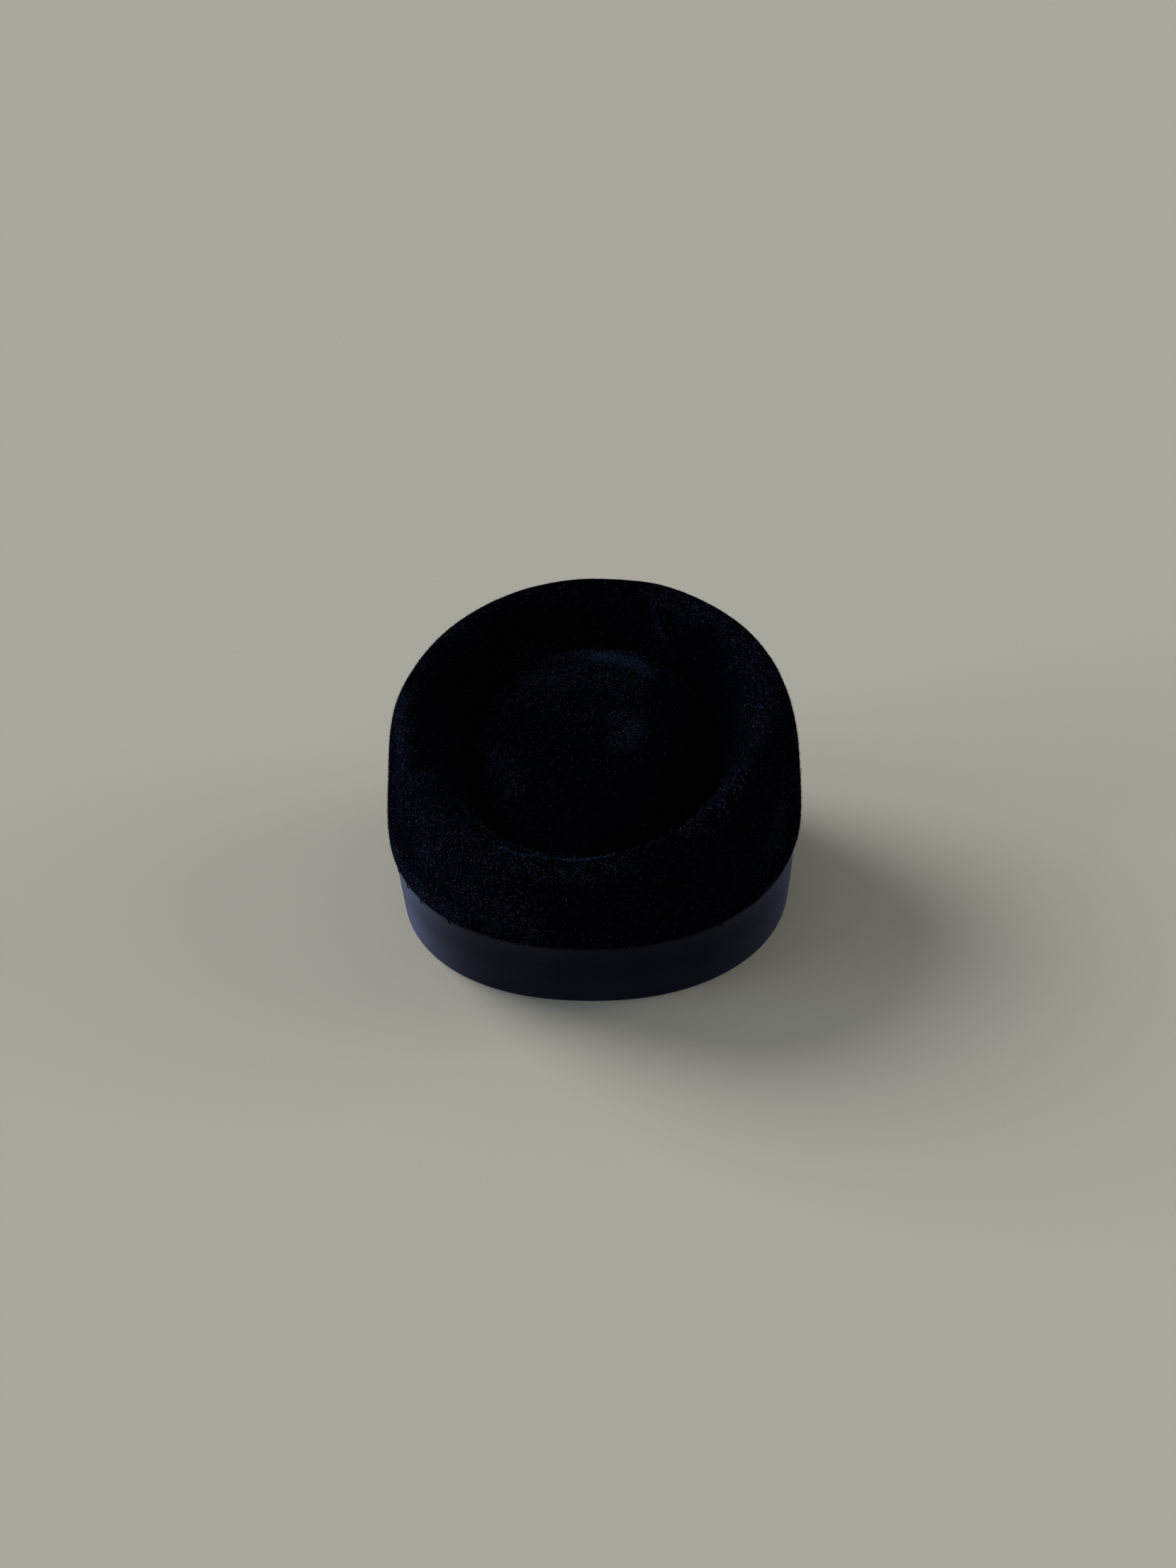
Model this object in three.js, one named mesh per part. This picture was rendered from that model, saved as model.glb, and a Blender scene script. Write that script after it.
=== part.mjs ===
// Half hat: a small oval felt hat with a telescoped top and a leather band round its lower wall.
// Millimetres, +Z up, the rim lies in the plane z = 0 and the front of the hat faces -Y.
import * as THREE from "three";

// Rim: outer face of the felt where the hat rests.
const RIM_HALF_WIDTH = 83.4;
const RIM_FRONT = 82.5;
const RIM_BACK = 88;

// Belt: outer face of the felt behind the band's top edge, which draws it in a little.
const BELT_HALF_WIDTH = 85.9;
const BELT_FRONT = 93.2;
const BELT_BACK = 94;

// Wall: outer face of the felt where the crown is widest.
const WALL_HALF_WIDTH = 88.3;
const WALL_FRONT = 98.5;
const WALL_BACK = 95;

// Ridge: the highest line of the felt, which runs round the well.
const RIDGE_HALF_WIDTH = 73.5;
const RIDGE_FRONT = 91;
const RIDGE_BACK = 85.5;
const FRONT_HEIGHT = 72.6;
const BACK_HEIGHT = 109;
const RIDGE_ROUNDING = 7.5;

// Tip: the low dome that stands in the well.
const TIP_HALF_WIDTH = 50;
const TIP_FRONT = 60;
const TIP_BACK = 67;
const TIP_DEPTH = 18.5;
const TIP_CROWNING = 8.5;

// Well: its groove runs between the ridge and the tip.
const WELL_DEPTH = 30;

// Materials' thicknesses, and the strip round the wall.
const FELT_THICKNESS = 2.5;
const BAND_HEIGHT = 34;
const BAND_THICKNESS = 1.4;
const BAND_CLEARANCE = 0.3;

// Shape of the ovals, without a unit: 2 is an ellipse, more is squarer. The back is fuller than the front.
const RIM_SQUARENESS = 2.23;
const RIDGE_SQUARENESS = 2;
const BACK_FULLNESS = 0.06;

// How finely the surfaces are divided.
const SIDES = 72;
const STEPS_PER_SECTION = 2;

// Guide ovals, each by its reach to the sides, to the front and to the back.
const RIM = { side: RIM_HALF_WIDTH, front: RIM_FRONT, back: RIM_BACK };
const BELT = { side: BELT_HALF_WIDTH, front: BELT_FRONT, back: BELT_BACK };
const WALL = { side: WALL_HALF_WIDTH, front: WALL_FRONT, back: WALL_BACK };
const RIDGE = { side: RIDGE_HALF_WIDTH, front: RIDGE_FRONT, back: RIDGE_BACK };
const TIP = { side: TIP_HALF_WIDTH, front: TIP_FRONT, back: TIP_BACK };
const CENTRE = { side: 0, front: 0, back: 0 };

// Sections of the felt's outer face, from the rim over the ridge to the middle of the tip. part runs from one
// guide oval to the other. The rest are shares: band of the band's height, rise of the height between the
// band and the ridge, tuck and drop of the ridge's rounding, inwards and down, sink of the well's depth and
// tip of the tip's depth. A share that isn't listed is the one in PLAIN.
const PLAIN = { band: 1, rise: 1, tuck: 0, drop: 0, sink: 0, tip: 0 };
const SECTIONS = [
  { name: "rim", from: RIM, to: BELT, part: 0, band: 0, rise: 0 },
  { name: "under the band", from: RIM, to: BELT, part: 0.52, band: 0.5, rise: 0 },
  { name: "belt", from: BELT, to: WALL, part: 0, rise: 0 },
  { name: "over the band", from: BELT, to: WALL, part: 0.86, rise: 0.05 },
  { name: "widest", from: BELT, to: WALL, part: 1, rise: 0.17 },
  { name: "upper wall", from: WALL, to: RIDGE, part: 0.07, rise: 0.5 },
  { name: "shoulder foot", from: WALL, to: RIDGE, part: 0.22, rise: 0.73 },
  { name: "shoulder", from: WALL, to: RIDGE, part: 0.56, rise: 0.93 },
  { name: "ridge", from: RIDGE, to: TIP, part: 0 },
  { name: "lip", from: RIDGE, to: TIP, part: 0, tuck: 0.64, drop: 0.24 },
  { name: "inside of the ridge", from: RIDGE, to: TIP, part: 0, tuck: 1.05, drop: 0.78 },
  { name: "well wall", from: RIDGE, to: TIP, part: 0.42, tuck: 0.72, sink: 0.57 },
  { name: "well foot", from: RIDGE, to: TIP, part: 0.66, tuck: 0.3, sink: 0.89 },
  { name: "groove", from: RIDGE, to: TIP, part: 0.82, sink: 1 },
  { name: "tip foot", from: RIDGE, to: TIP, part: 0.95, sink: 0.36, tip: 0.7 },
  { name: "tip edge", from: TIP, to: CENTRE, part: 0.13, tip: 1.1 },
  { name: "tip slope", from: TIP, to: CENTRE, part: 0.42, tip: 1 },
  { name: "tip top", from: TIP, to: CENTRE, part: 0.76, tip: 1 },
  { name: "tip middle", from: TIP, to: CENTRE, part: 1, tip: 1 },
].map((row) => ({ ...PLAIN, ...row }));

// Dents and swellings that the hand-blocked felt has kept. bearing is the angle in degrees from the right
// side by way of the back, and at is the section in the middle of the dent. spread is its reach round the hat
// in degrees, length its reach over the sections, and push how far the felt moves out, as a share of its
// thickness.
const DENTS = [
  { name: "left shoulder", bearing: 172, at: "shoulder foot", spread: 13, length: 1.3, push: 0.5 },
  { name: "right cheek", bearing: 352, at: "widest", spread: 16, length: 1.6, push: 0.4 },
  { name: "left cheek", bearing: 192, at: "widest", spread: 18, length: 1.2, push: 0.38 },
  { name: "left wall", bearing: 183, at: "upper wall", spread: 18, length: 1, push: -0.3 },
  { name: "back notch", bearing: 84, at: "ridge", spread: 8, length: 1.2, push: -0.15 },
  { name: "back right fold", bearing: 57, at: "well wall", spread: 8, length: 1.5, push: 0.6 },
  { name: "back right crease", bearing: 68, at: "well wall", spread: 7, length: 1.4, push: -0.75 },
  { name: "back left hollow", bearing: 140, at: "well wall", spread: 18, length: 1.4, push: -0.5 },
  { name: "left lip", bearing: 196, at: "lip", spread: 12, length: 1.2, push: 0.3 },
  { name: "front left lip", bearing: 224, at: "inside of the ridge", spread: 20, length: 1.2, push: -1.15 },
  { name: "front lip", bearing: 272, at: "lip", spread: 24, length: 1, push: -0.3 },
  { name: "right lip", bearing: 341, at: "inside of the ridge", spread: 17, length: 1.4, push: -1 },
  { name: "front right wall", bearing: 315, at: "upper wall", spread: 20, length: 1.6, push: -0.45 },
  { name: "tip, far right", bearing: 58, at: "tip edge", spread: 24, length: 0.9, push: 0.5 },
  { name: "tip, right hump", bearing: 350, at: "tip slope", spread: 24, length: 0.8, push: 0.5 },
  { name: "tip, right slump", bearing: 5, at: "tip edge", spread: 38, length: 1.1, push: -1.1 },
  { name: "tip, left hump", bearing: 212, at: "tip edge", spread: 22, length: 0.9, push: 0.5 },
  { name: "tip, front dip", bearing: 280, at: "tip slope", spread: 30, length: 0.9, push: -0.6 },
];

const mix = THREE.MathUtils.lerp;

// A full turn is split into equal steps of this angle, from the right side of the hat by way of its back.
const turn = (side) => (side / SIDES) * 2 * Math.PI;

// Power of a sine or cosine that keeps its sign, for the squared ovals.
function signedPower(value, power) {
  return Math.sign(value) * Math.abs(value) ** power;
}

// Height of the ridge's plane, which climbs from the front to the back.
function ridgeHeight(y) {
  const slope = (BACK_HEIGHT - FRONT_HEIGHT) / (RIDGE_FRONT + RIDGE_BACK);
  return FRONT_HEIGHT + slope * (y + RIDGE_FRONT);
}

// One point of one section. The tip's crowning grows from its edge to its middle.
function sectionPoint(section, angle) {
  const oval = (way) => mix(section.from[way], section.to[way], section.part);
  const reach = (way) => oval(way) - RIDGE_ROUNDING * section.tuck;
  const squareness = mix(RIM_SQUARENESS, RIDGE_SQUARENESS, section.rise);
  const across = signedPower(Math.cos(angle), 2 / squareness);
  const along = signedPower(Math.sin(angle), 2 / squareness);
  const x = reach("side") * across * (1 + BACK_FULLNESS * along);
  const y = reach(along > 0 ? "back" : "front") * along;
  const crowning = section.to === CENTRE ? TIP_CROWNING * (1 - (1 - section.part) ** 2) : 0;
  const lower = BAND_HEIGHT * section.band;
  const upper = (ridgeHeight(y) - BAND_HEIGHT) * section.rise;
  const sunk = RIDGE_ROUNDING * section.drop + WELL_DEPTH * section.sink + TIP_DEPTH * section.tip;
  return new THREE.Vector3(x, y, lower + upper - sunk + crowning);
}

// The felt's outer face as rows of points: grid[row][side], row 0 on the rim, the last row at the middle.
function outerGrid() {
  const rows = (SECTIONS.length - 1) * STEPS_PER_SECTION + 1;
  const columns = [];
  for (let side = 0; side < SIDES; side++) {
    const points = SECTIONS.map((section) => sectionPoint(section, turn(side)));
    const curve = new THREE.CatmullRomCurve3(points, false, "centripetal");
    columns.push(curve.getPoints(rows - 1));
  }
  return Array.from({ length: rows }, (_, row) => columns.map((column) => column[row]));
}

// Sum of the dents at one grid point, as a distance along its normal. The rim and the middle stay put.
function dentPush(row, side) {
  const place = row / STEPS_PER_SECTION;
  const bearing = THREE.MathUtils.radToDeg(turn(side));
  return DENTS.reduce((sum, dent) => {
    const middle = SECTIONS.findIndex((section) => section.name === dent.at);
    const around = THREE.MathUtils.euclideanModulo(bearing - dent.bearing + 180, 360) - 180;
    const fall = (around / dent.spread) ** 2 + ((place - middle) / dent.length) ** 2;
    return sum + FELT_THICKNESS * dent.push * Math.exp(-fall);
  }, 0);
}

// The grid with its dents pressed in above the band.
function dentedGrid(grid) {
  const normals = gridNormals(grid);
  const belt = SECTIONS.findIndex((section) => section.name === "belt") * STEPS_PER_SECTION;
  return grid.map((row, r) => {
    const free = r > belt && r < grid.length - 1;
    return row.map((point, s) => (free ? shifted(point, normals[r][s], dentPush(r, s)) : point));
  });
}

// Outward unit normal at each grid point, from its neighbours along and across the rows.
function gridNormals(grid) {
  const last = grid.length - 1;
  return grid.map((row, r) =>
    row.map((point, s) => {
      if (r === last) return new THREE.Vector3(0, 0, 1);
      const around = row[(s + 1) % SIDES].clone().sub(row[(s + SIDES - 1) % SIDES]);
      const up = grid[Math.min(r + 1, last)][s].clone().sub(grid[Math.max(r - 1, 0)][s]);
      const normal = around.cross(up);
      if (r === 0) normal.z = 0;
      return normal.normalize();
    }),
  );
}

// Triangles of a closed body that is listed as rings of points, with a fan at each end that has a middle.
function ringBody(rings, startMiddle, endMiddle) {
  const positions = rings.flat().flatMap((p) => [p.x, p.y, p.z]);
  const index = [];
  const at = (ring, side) => ring * SIDES + (side % SIDES);
  for (let ring = 0; ring + 1 < rings.length; ring++) {
    for (let side = 0; side < SIDES; side++) {
      index.push(at(ring, side), at(ring, side + 1), at(ring + 1, side + 1));
      index.push(at(ring, side), at(ring + 1, side + 1), at(ring + 1, side));
    }
  }
  const start = rings.length * SIDES;
  const lastRing = rings.length - 1;
  if (startMiddle) {
    positions.push(startMiddle.x, startMiddle.y, startMiddle.z);
    positions.push(endMiddle.x, endMiddle.y, endMiddle.z);
    for (let side = 0; side < SIDES; side++) {
      index.push(start, at(0, side + 1), at(0, side));
      index.push(start + 1, at(lastRing, side), at(lastRing, side + 1));
    }
  } else {
    for (let side = 0; side < SIDES; side++) {
      index.push(at(lastRing, side), at(lastRing, side + 1), at(0, side + 1));
      index.push(at(lastRing, side), at(0, side + 1), at(0, side));
    }
  }
  const geometry = new THREE.BufferGeometry();
  geometry.setAttribute("position", new THREE.Float32BufferAttribute(positions, 3));
  geometry.setIndex(index);
  geometry.computeVertexNormals();
  return geometry;
}

// Moves a point along a direction.
const shifted = (point, direction, distance) => point.clone().addScaledVector(direction, distance);

// Crown: outer face from the rim to the middle, and an inner face one felt thickness behind it.
function crownGeometry(grid, normals) {
  const last = grid.length - 1;
  const inner = grid.map((row, r) =>
    row.map((point, s) => shifted(point, normals[r][s], -FELT_THICKNESS)),
  );
  const rings = [...inner.slice(0, last).reverse(), ...grid.slice(0, last)];
  return ringBody(rings, inner[last][0], grid[last][0]);
}

// Band: a strip that follows the wall at a clearance, from the rim to its cut top edge.
function bandGeometry(grid) {
  const top = SECTIONS.findIndex((section) => section.name === "belt") * STEPS_PER_SECTION;
  const level = grid.slice(0, top + 1).map((row) =>
    row.map((point, s) => {
      const around = row[(s + 1) % SIDES].clone().sub(row[(s + SIDES - 1) % SIDES]);
      return new THREE.Vector3(around.y, -around.x, 0).normalize();
    }),
  );
  const face = (distance) =>
    level.map((row, r) => row.map((out, s) => shifted(grid[r][s], out, distance)));
  const inside = face(BAND_CLEARANCE).reverse();
  const outside = face(BAND_CLEARANCE + BAND_THICKNESS);
  return ringBody([...inside, ...outside]);
}

function piece(name, geometry, material) {
  const mesh = new THREE.Mesh(geometry, new THREE.MeshStandardMaterial(material));
  mesh.name = name;
  return mesh;
}

const FELT = { color: 0x0b0d14, roughness: 0.95, metalness: 0 };
const LEATHER = { color: 0x171a22, roughness: 0.55, metalness: 0 };

const grid = dentedGrid(outerGrid());
const hat = new THREE.Group();
hat.add(piece("crown", crownGeometry(grid, gridNormals(grid)), FELT));
hat.add(piece("band", bandGeometry(grid), LEATHER));

// The origin is the middle of the hat's footprint, on the surface that it rests on.
const extent = new THREE.Box3().setFromObject(hat);
const middle = extent.getCenter(new THREE.Vector3());
for (const mesh of hat.children) mesh.position.set(-middle.x, -middle.y, -extent.min.z);

export default hat;
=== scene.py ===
# %% [markdown]
# A half hat in velour felt
#
# The hat is one piece of fur felt, pulled wet over a wooden block: a wall, a rounded ridge, and a top that is
# pushed back into the crown like a telescope, so that a low dome stands in a well. A strip of smooth leather
# is sewn round the lower wall. The solid model gives every size. Here it gets its surface: the soft, brushed
# pile of the felt, the close grain of the leather, and the few stitches that hold the strip.
#
# The frame is loaded first, because every piece that follows is measured from it. The solids' own box is
# kept, so that the finished hat can be held against it at the end.

import math

import bmesh
import bpy
import numpy as np
from mathutils import Matrix, Vector, noise
from mathutils.bvhtree import BVHTree


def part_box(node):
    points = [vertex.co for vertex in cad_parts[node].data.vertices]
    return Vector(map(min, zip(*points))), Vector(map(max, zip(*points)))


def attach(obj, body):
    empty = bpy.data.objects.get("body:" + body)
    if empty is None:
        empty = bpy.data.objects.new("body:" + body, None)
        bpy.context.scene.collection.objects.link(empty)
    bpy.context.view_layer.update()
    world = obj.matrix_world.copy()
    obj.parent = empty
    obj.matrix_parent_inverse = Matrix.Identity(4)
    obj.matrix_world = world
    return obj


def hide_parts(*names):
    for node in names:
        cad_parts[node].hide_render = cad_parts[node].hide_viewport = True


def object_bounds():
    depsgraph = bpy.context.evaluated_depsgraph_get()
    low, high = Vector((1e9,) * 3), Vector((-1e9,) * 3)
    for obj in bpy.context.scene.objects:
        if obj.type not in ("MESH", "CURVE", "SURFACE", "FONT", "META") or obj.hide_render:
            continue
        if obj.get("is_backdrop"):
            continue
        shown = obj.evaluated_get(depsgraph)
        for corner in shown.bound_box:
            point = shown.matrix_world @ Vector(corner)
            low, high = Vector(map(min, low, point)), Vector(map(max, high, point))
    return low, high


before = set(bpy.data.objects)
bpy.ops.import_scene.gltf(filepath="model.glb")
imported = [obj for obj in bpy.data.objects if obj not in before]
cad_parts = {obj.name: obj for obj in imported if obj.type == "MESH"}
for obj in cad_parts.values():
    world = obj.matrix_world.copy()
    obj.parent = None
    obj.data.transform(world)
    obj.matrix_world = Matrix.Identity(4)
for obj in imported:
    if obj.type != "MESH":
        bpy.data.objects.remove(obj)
cad_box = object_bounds()
MM = 0.001
print("the solids reach from", tuple(cad_box[0]), "to", tuple(cad_box[1]))

# %% [markdown]
# The camera stands in front of the hat and looks down on it, as one looks at a hat on a shelf. Its place
# comes from the hat's outline in the photograph: a height above the horizon, a small turn to the right, a
# slight roll and shift of the picture, a distance and a focal length. A camera's own axes are its right, its
# up and its back, so they can be written down as the columns of its matrix, and nothing has to be aimed.

# %% The camera
PICTURE_WIDTH, PICTURE_HEIGHT = 1659, 2212
SENSOR = 36.0
FOCAL_PIXELS = 2300
ABOVE_HORIZON = math.radians(32.0)
TURNED_RIGHT = math.radians(3.59)
ROLLED = math.radians(1.66)
CAMERA_DISTANCE = 705.57 * MM
LOOKED_AT = Vector((-0.1, 1.4, 37.1)) * MM
PICTURE_OFFSET = (8.52, 39.07)


def camera_matrix():
    """The camera's place: right, up and back as columns, turned by the picture's roll."""
    level = math.cos(ABOVE_HORIZON)
    back = Vector((math.sin(TURNED_RIGHT) * level, -math.cos(TURNED_RIGHT) * level, math.sin(ABOVE_HORIZON)))
    right = Vector((math.cos(TURNED_RIGHT), math.sin(TURNED_RIGHT), 0))
    up = back.cross(right)
    rolled_right = right * math.cos(ROLLED) - up * math.sin(ROLLED)
    rolled_up = right * math.sin(ROLLED) + up * math.cos(ROLLED)
    turn = Matrix((rolled_right, rolled_up, back)).transposed().to_4x4()
    return Matrix.Translation(LOOKED_AT + back * CAMERA_DISTANCE) @ turn


def picture_point(tree, pixel):
    """The point of a surface that shows at a point of the picture."""
    matrix = camera_matrix()
    across = pixel[0] - PICTURE_WIDTH / 2 - PICTURE_OFFSET[0]
    down = pixel[1] - PICTURE_HEIGHT / 2 - PICTURE_OFFSET[1]
    ray = (matrix.to_3x3() @ Vector((across, -down, -FOCAL_PIXELS))).normalized()
    return tree.ray_cast(matrix.translation, ray)[0]


camera_data = bpy.data.cameras.new("camera")
camera_data.sensor_width = SENSOR
camera_data.lens = FOCAL_PIXELS / PICTURE_HEIGHT * SENSOR
camera_data.shift_x = -PICTURE_OFFSET[0] / PICTURE_HEIGHT
camera_data.shift_y = PICTURE_OFFSET[1] / PICTURE_HEIGHT
camera_data.clip_start = 10 * MM
camera = bpy.data.objects.new("camera", camera_data)
bpy.context.scene.collection.objects.link(camera)
camera.matrix_world = camera_matrix()
bpy.context.scene.camera = camera
print("the camera stands", round(camera.location.z / MM), "mm above the floor")

# %% [markdown]
# The hat rests on a plain pale floor. The floor's far edge lies beyond the top of the picture, so that it is
# also the backdrop. Suns with a wide angle stand in for large soft boxes: they light the whole floor evenly
# and their shadows have broad soft edges. The main one stands to the left and behind, and lights the ridge
# and the far rim of the dome from the side. A cool one, low on the left, lights the wall and the strip. A
# weak warm one fills in from the right, and a dim sky fills the rest. Felt this dark shows its form only where
# light grazes it, so most of the light comes from one side.

# %% Floor and light
FLOOR_HALF = 12.0
FLOOR_GREY = (0.50, 0.463, 0.382, 1)
FLOOR_ROUGHNESS = 0.9
SKY_GREY = (0.86, 0.93, 1.0, 1)
SKY_STRENGTH = 0.27
SUNS = (
    dict(name="window", bearing=150, rise=33, strength=2.5, angle=38, colour=(0.92, 0.96, 1.0)),
    dict(name="low window", bearing=197, rise=6, strength=2.3, angle=40, colour=(0.68, 0.83, 1.0)),
    dict(name="far wall", bearing=10, rise=24, strength=0.7, angle=40, colour=(1.0, 0.98, 0.95)),
)


def plain_material(name, colour, roughness):
    """A material that is the same all over."""
    material = bpy.data.materials.new(name)
    material.use_nodes = True
    surface = material.node_tree.nodes["Principled BSDF"]
    surface.inputs["Base Color"].default_value = colour
    surface.inputs["Roughness"].default_value = roughness
    surface.inputs["Specular IOR Level"].default_value = 0.0
    return material


def add_floor():
    """A wide square of floor at the height of the rim."""
    corners = [(-FLOOR_HALF, -FLOOR_HALF, 0), (FLOOR_HALF, -FLOOR_HALF, 0),
               (FLOOR_HALF, FLOOR_HALF, 0), (-FLOOR_HALF, FLOOR_HALF, 0)]
    mesh = bpy.data.meshes.new("floor")
    mesh.from_pydata(corners, [], [(0, 1, 2, 3)])
    mesh.materials.append(plain_material("pale floor", FLOOR_GREY, FLOOR_ROUGHNESS))
    floor = bpy.data.objects.new("floor", mesh)
    bpy.context.scene.collection.objects.link(floor)
    floor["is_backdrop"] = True


def add_sun(name, bearing, rise, strength, angle, colour):
    """Soft even light. Its bearing counts from the hat's right side by way of its back."""
    data = bpy.data.lights.new(name, "SUN")
    data.energy = strength
    data.angle = math.radians(angle)
    data.color = colour
    sun = bpy.data.objects.new(name, data)
    bpy.context.scene.collection.objects.link(sun)
    level = math.cos(math.radians(rise))
    side, back = math.cos(math.radians(bearing)), math.sin(math.radians(bearing))
    way = Vector((side * level, back * level, math.sin(math.radians(rise))))
    sun.location = way
    sun.rotation_euler = (-way).to_track_quat("-Z", "Y").to_euler()


add_floor()
for sun in SUNS:
    add_sun(**sun)
world = bpy.data.worlds.new("grey sky")
world.use_nodes = True
sky = world.node_tree.nodes["Background"]
sky.inputs["Color"].default_value = SKY_GREY
sky.inputs["Strength"].default_value = SKY_STRENGTH
bpy.context.scene.world = world
bpy.context.scene.view_settings.view_transform = "Standard"
print("floor, sky and", len(SUNS), "suns")

# %% [markdown]
# Every finish and every repeated shape below is a graph of nodes. Two small classes make such graphs easy to
# read. `Value` wraps the output of a node, so that ordinary arithmetic on it adds Math nodes. `Graph` has one
# method that adds any other node: it takes the node's type, then its settings, then its sockets.

# %% Arithmetic on sockets
class Value:
    """A node's output, on which Python's arithmetic adds Math nodes."""

    def __init__(self, graph, socket):
        self.graph = graph
        self.socket = socket

    def maths(self, operation, *values):
        """One Math node with the given values."""
        return self.graph.node("ShaderNodeMath", {"operation": operation}, dict(enumerate(values)))

    def output(self, name):
        """Another output of the same node."""
        return Value(self.graph, self.socket.node.outputs[name])

    def __add__(self, other):
        return self.maths("ADD", self, other)

    def __sub__(self, other):
        return self.maths("SUBTRACT", self, other)

    def __rsub__(self, other):
        return self.maths("SUBTRACT", other, self)

    def __mul__(self, other):
        return self.maths("MULTIPLY", self, other)

    def __pow__(self, other):
        return self.maths("POWER", self, other)

    def __rpow__(self, other):
        return self.maths("POWER", other, self)

    __radd__ = __add__
    __rmul__ = __mul__


class Graph:
    """A tree of nodes, and the one method that adds to it."""

    def __init__(self, tree):
        self.tree = tree

    def node(self, kind, settings=None, sockets=None, out=0):
        """Adds a node and returns the output named or numbered out."""
        made = self.tree.nodes.new(kind)
        for name, value in (settings or {}).items():
            if name == "stops":
                self.set_stops(made.color_ramp, value)
            else:
                setattr(made, name, value)
        for name, value in (sockets or {}).items():
            if isinstance(value, Value):
                self.tree.links.new(value.socket, made.inputs[name])
            else:
                made.inputs[name].default_value = value
        return Value(self, made.outputs[out]) if made.outputs else made

    def given(self):
        """The tree's own inputs, by name."""
        made = self.tree.nodes.new("NodeGroupInput")
        return {socket.name: Value(self, socket) for socket in made.outputs if socket.name}

    def set_stops(self, ramp, stops):
        """Gives a colour ramp its stops: a place and a grey or a colour for each."""
        while len(ramp.elements) < len(stops):
            ramp.elements.new(0.5)
        for element, (place, shade) in zip(ramp.elements, stops):
            element.position = place
            element.color = (shade, shade, shade, 1) if isinstance(shade, (int, float)) else (*shade, 1)


def finish(name, uniform):
    """A new material with its uniform values set, and its graph and surface."""
    material = bpy.data.materials.new(name)
    material.use_nodes = True
    surface = material.node_tree.nodes["Principled BSDF"]
    for socket, value in uniform.items():
        surface.inputs[socket].default_value = value
    return material, Graph(material.node_tree), surface


print("graphs: arithmetic adds Math nodes, and one method adds every other node")

# %% [markdown]
# The felt starts from a copy of the solid's mesh, whose triangles are loose. Their corners are merged and the
# triangles paired up into four-sided faces, because a subdivision surface is smooth over those. The two edges
# of the rim are cut edges, so they are creased and stay where they are, and the hat stays flat on the floor.

# %% The felt's shape
MERGE_WITHIN = 0.01 * MM
RIM_LEVEL = 0.05 * MM
CUT_EDGE = 0.9
FLATTEST_PAIR = math.radians(60)
MOST_SKEWED_PAIR = math.radians(120)
DIVISIONS = 2


def merged_copy(node):
    """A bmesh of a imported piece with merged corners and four-sided faces."""
    shape = bmesh.new()
    shape.from_mesh(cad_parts[node].data)
    bmesh.ops.remove_doubles(shape, verts=shape.verts, dist=MERGE_WITHIN)
    bmesh.ops.join_triangles(
        shape, faces=shape.faces, angle_face_threshold=FLATTEST_PAIR, angle_shape_threshold=MOST_SKEWED_PAIR
    )
    return shape


def crease_rim(shape):
    """Marks the edges that lie on the floor as cut edges."""
    layer = shape.edges.layers.float.new("crease_edge")
    for edge in shape.edges:
        if all(vert.co.z < RIM_LEVEL for vert in edge.verts):
            edge[layer] = CUT_EDGE


def as_piece(name, shape):
    """An object made from a bmesh, which is then free."""
    mesh = bpy.data.meshes.new(name)
    shape.to_mesh(mesh)
    shape.free()
    mesh.polygons.foreach_set("use_smooth", [True] * len(mesh.polygons))
    piece = bpy.data.objects.new(name, mesh)
    bpy.context.scene.collection.objects.link(piece)
    return piece


def finished_mesh(piece):
    """Replaces a piece's mesh by its evaluated one, and takes its modifiers off."""
    depsgraph = bpy.context.evaluated_depsgraph_get()
    made = bpy.data.meshes.new_from_object(piece.evaluated_get(depsgraph))
    piece.modifiers.clear()
    piece.data = made


def subdivide(piece, levels):
    """Divides a piece as a subdivision surface."""
    modifier = piece.modifiers.new("smooth", "SUBSURF")
    modifier.levels = levels
    modifier.render_levels = levels
    finished_mesh(piece)


felt_shape = merged_copy("crown")
crease_rim(felt_shape)
coarse_felt = BVHTree.FromBMesh(felt_shape)
pairs = sum(len(face.verts) == 4 for face in felt_shape.faces)
print("felt:", pairs, "four-sided faces of", len(felt_shape.faces))
felt = as_piece("felt_crown", felt_shape)
subdivide(felt, DIVISIONS)

# %% [markdown]
# The nap is brushed only on the face that shows. That face is found without any list of points: a point
# belongs to it if one can leave it along its normal, and a little upwards, without meeting the felt again.

# %% Inner and outer face
LEAVE_BY = 0.6 * MM
UPWARDS = 0.7
STEEPEST_UNDERSIDE = -0.75
NEARLY_NOTHING = 1e-9


def read(mesh, name="co"):
    """The corners of a mesh, or their normals, as rows of three numbers."""
    values = np.empty(len(mesh.vertices) * 3, np.float32)
    if name == "co":
        mesh.vertices.foreach_get("co", values)
    else:
        mesh.vertex_normals.foreach_get("vector", values)
    return values.reshape(-1, 3).astype(float)


def write(mesh, points):
    """Moves the corners of a mesh."""
    mesh.vertices.foreach_set("co", points.astype(np.float32).ravel())
    mesh.update()


def write_attribute(mesh, name, values):
    """Stores one number for each corner."""
    layer = mesh.attributes.new(name, "FLOAT", "POINT")
    layer.data.foreach_set("value", np.asarray(values, np.float32))


def outwards(points):
    """The level direction away from the hat's middle at each point."""
    level = points * (1, 1, 0)
    return level / np.maximum(np.linalg.norm(level, axis=1), NEARLY_NOTHING)[:, None]


def is_outer(point, normal):
    """True if a point on the felt's surface is on the face that shows."""
    if normal[2] < STEEPEST_UNDERSIDE:
        return False
    way = (Vector(normal) + Vector((0, 0, UPWARDS))).normalized()
    return coarse_felt.ray_cast(Vector(point) + Vector(normal) * LEAVE_BY, way)[0] is None


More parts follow.
